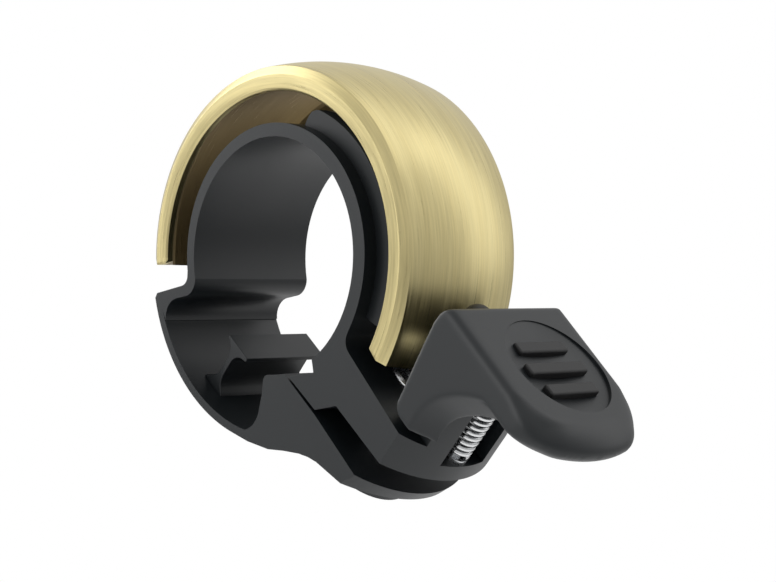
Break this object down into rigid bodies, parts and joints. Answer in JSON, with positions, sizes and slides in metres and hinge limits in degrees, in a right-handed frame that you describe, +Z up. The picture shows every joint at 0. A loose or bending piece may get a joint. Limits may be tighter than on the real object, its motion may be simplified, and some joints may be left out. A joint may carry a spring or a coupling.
{
  "type": "bicycle bell",
  "caption": "Ring-shaped bicycle bell that clamps round a handlebar; a sprung thumb lever swings a hammer against the brass ring.",
  "frame": {"origin": "centre of the handlebar bore, halfway along its width", "axes": "+Y along the handlebar, away from the front face; +X towards the thumb lever; +Z up"},
  "size_m": [0.0535, 0.0148, 0.0413],
  "materials": {
    "brass_ring": "brushed round the ring",
    "black_nylon": "satin",
    "black_rubber": "satin",
    "steel": "bright zinc plate"
  },
  "bodies": {
    "clamp_frame": {"clamp_band": "black_nylon", "sounding_ring": "brass_ring", "ring_stud": "brass_ring", "ring_grommet": "black_rubber", "ring_screw": "steel", "ring_saddle": "black_nylon", "hinge_web": "black_nylon", "clamp_nut": "steel", "pivot_pin": "steel", "return_spring": "steel", "spring_seat": "steel"},
    "jaw": {"clamp_jaw": "black_nylon", "bar_rest_fin": "black_nylon"},
    "washer": {"bolt_washer": "steel"},
    "bolt": {"clamp_bolt": "steel"},
    "lever": {"thumb_lever": "black_nylon", "thumb_grip": "black_rubber", "hammer_tip": "black_rubber", "hammer_stem": "steel", "spring_peg": "steel"}
  },
  "joints": [
    {"name": "lever_press", "type": "hinge", "parent": "clamp_frame", "child": "lever", "pos_m": [0.01761, 0, -0.01312], "axis": [0, 1, 0], "range_deg": [0, 14], "stiffness_Nm_per_rad": 0.01, "springref_deg": -11.46, "deforming": ["return_spring"]},
    {"name": "jaw_swing", "type": "hinge", "parent": "clamp_frame", "child": "jaw", "pos_m": [-0.0153, 0, -0.0085], "axis": [0, 1, 0], "range_deg": [0, 6], "deforming": ["hinge_web"]},
    {"name": "bolt_travel", "type": "slide", "parent": "clamp_frame", "child": "washer", "axis": [-0.6561, 0, -0.7547], "range_m": [0, 0.00288]},
    {"name": "bolt_turn", "type": "hinge", "parent": "washer", "child": "bolt", "pos_m": [0.0129, 0, -0.01122], "axis": [-0.6561, 0, -0.7547], "range_deg": [0, 1481]}
  ],
  "couplings": [
    {"joint": "bolt_turn", "follows": "bolt_travel", "rad_per_m": 8976},
    {"joint": "jaw_swing", "follows": "bolt_travel", "rad_per_m": 36.361}
  ]
}
